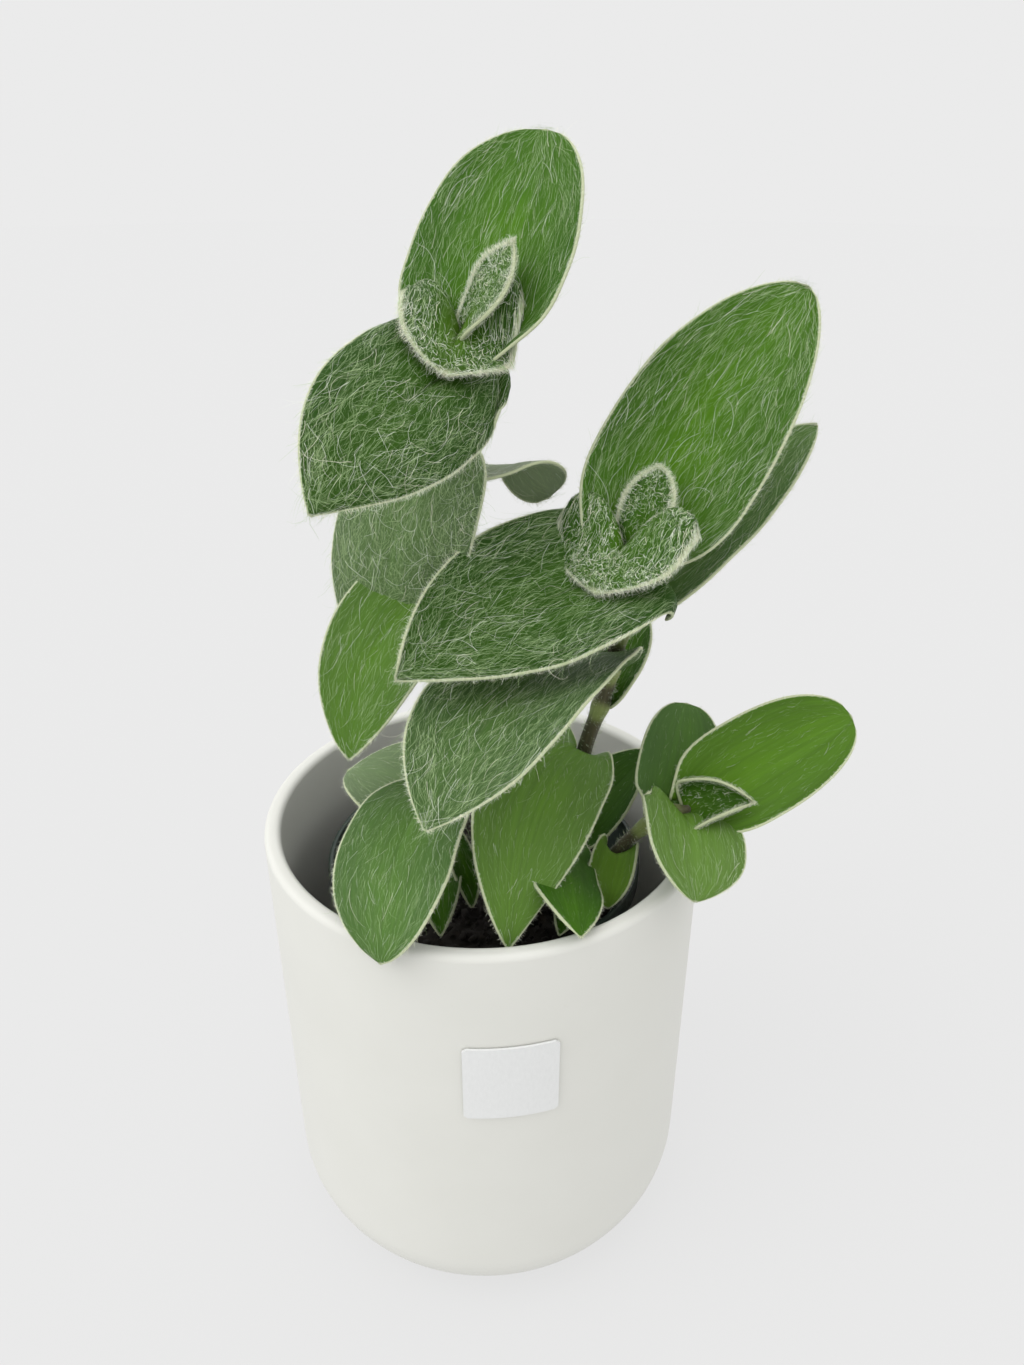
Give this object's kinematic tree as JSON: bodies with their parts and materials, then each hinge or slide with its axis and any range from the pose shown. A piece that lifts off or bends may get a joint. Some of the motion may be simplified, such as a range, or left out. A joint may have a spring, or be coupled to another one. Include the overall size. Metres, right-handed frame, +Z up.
{
  "type": "potted white velvet tradescantia",
  "caption": "Leafy potted plant with broad felted leaves in two rows on upright stems, in a nursery pot inside a round ceramic cover pot.",
  "frame": {"origin": "centre of the cover pot's flat base, on the surface it stands on", "axes": "+Z up along the pot's axis, front towards -Y, the side stem towards +X"},
  "size_m": [0.1579, 0.1224, 0.3012],
  "materials": {
    "white_ceramic": "matte off-white stoneware, faint speckle",
    "label_paper": "smooth blank label",
    "green_plastic": "dark teal-green moulded plastic, satin",
    "potting_soil": "dark crumbly peat soil",
    "stem": "grey-brown internodes with yellow-green hairy nodes",
    "leaf": "green blade under white woolly felt, cream hairy edge"
  },
  "bodies": {
    "root": {"cover_pot": "white_ceramic", "blank_label": "label_paper", "nursery_pot": "green_plastic", "soil": "potting_soil", "stem_left": "stem", "leaf_left_1": "leaf", "leaf_left_2": "leaf", "leaf_left_3": "leaf", "leaf_left_4": "leaf", "leaf_left_5": "leaf", "leaf_left_6": "leaf", "leaf_left_7": "leaf", "leaf_left_8": "leaf", "stem_right": "stem", "leaf_right_1": "leaf", "leaf_right_2": "leaf", "leaf_right_3": "leaf", "leaf_right_4": "leaf", "leaf_right_5": "leaf", "leaf_right_6": "leaf", "leaf_right_7": "leaf", "leaf_right_8": "leaf", "leaf_right_9": "leaf", "stem_side": "stem", "leaf_side_1": "leaf", "leaf_side_2": "leaf", "leaf_side_3": "leaf", "leaf_side_4": "leaf", "leaf_side_5": "leaf", "stem_low": "stem", "leaf_low_1": "leaf", "leaf_low_2": "leaf", "leaf_low_3": "leaf", "leaf_low_4": "leaf"}
  },
  "joints": []
}
